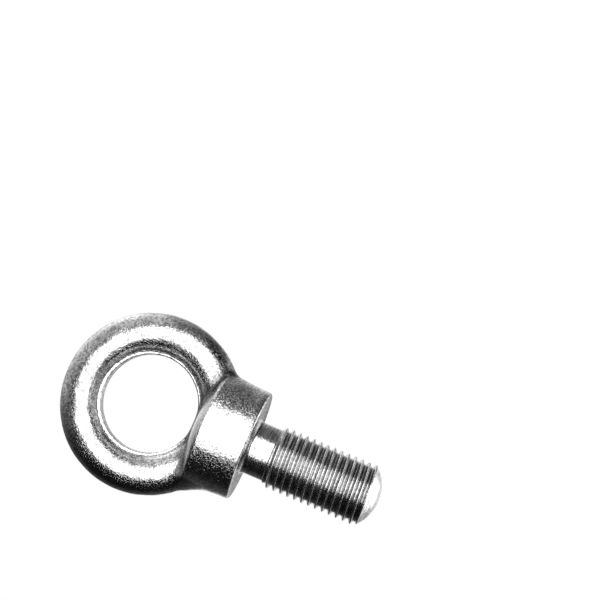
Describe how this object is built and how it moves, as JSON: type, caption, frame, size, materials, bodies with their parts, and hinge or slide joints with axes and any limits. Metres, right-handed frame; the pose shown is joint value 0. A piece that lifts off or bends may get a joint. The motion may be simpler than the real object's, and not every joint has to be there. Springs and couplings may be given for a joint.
{
  "type": "eye bolt",
  "caption": "Collared lifting eye bolt: a round forged eye on a drafted collar with a flat seat, a relieved neck and a metric threaded shank with a domed point.",
  "frame": {"origin": "centre of the collar's flat seating face, on the bolt's axis", "axes": "+Z along the bolt's axis from the seat towards the eye, the shank runs to -Z, and the eye opens along Y"},
  "size_m": [0.087, 0.0566, 0.1605],
  "materials": {
    "forged_steel": "bright plated drop forging, slightly grainy",
    "turned_steel": "bright plated, machined thread and neck"
  },
  "bodies": {
    "root": {"eye_ring": "forged_steel", "collar": "forged_steel", "shank_neck": "turned_steel", "threaded_shank": "turned_steel"}
  },
  "joints": []
}
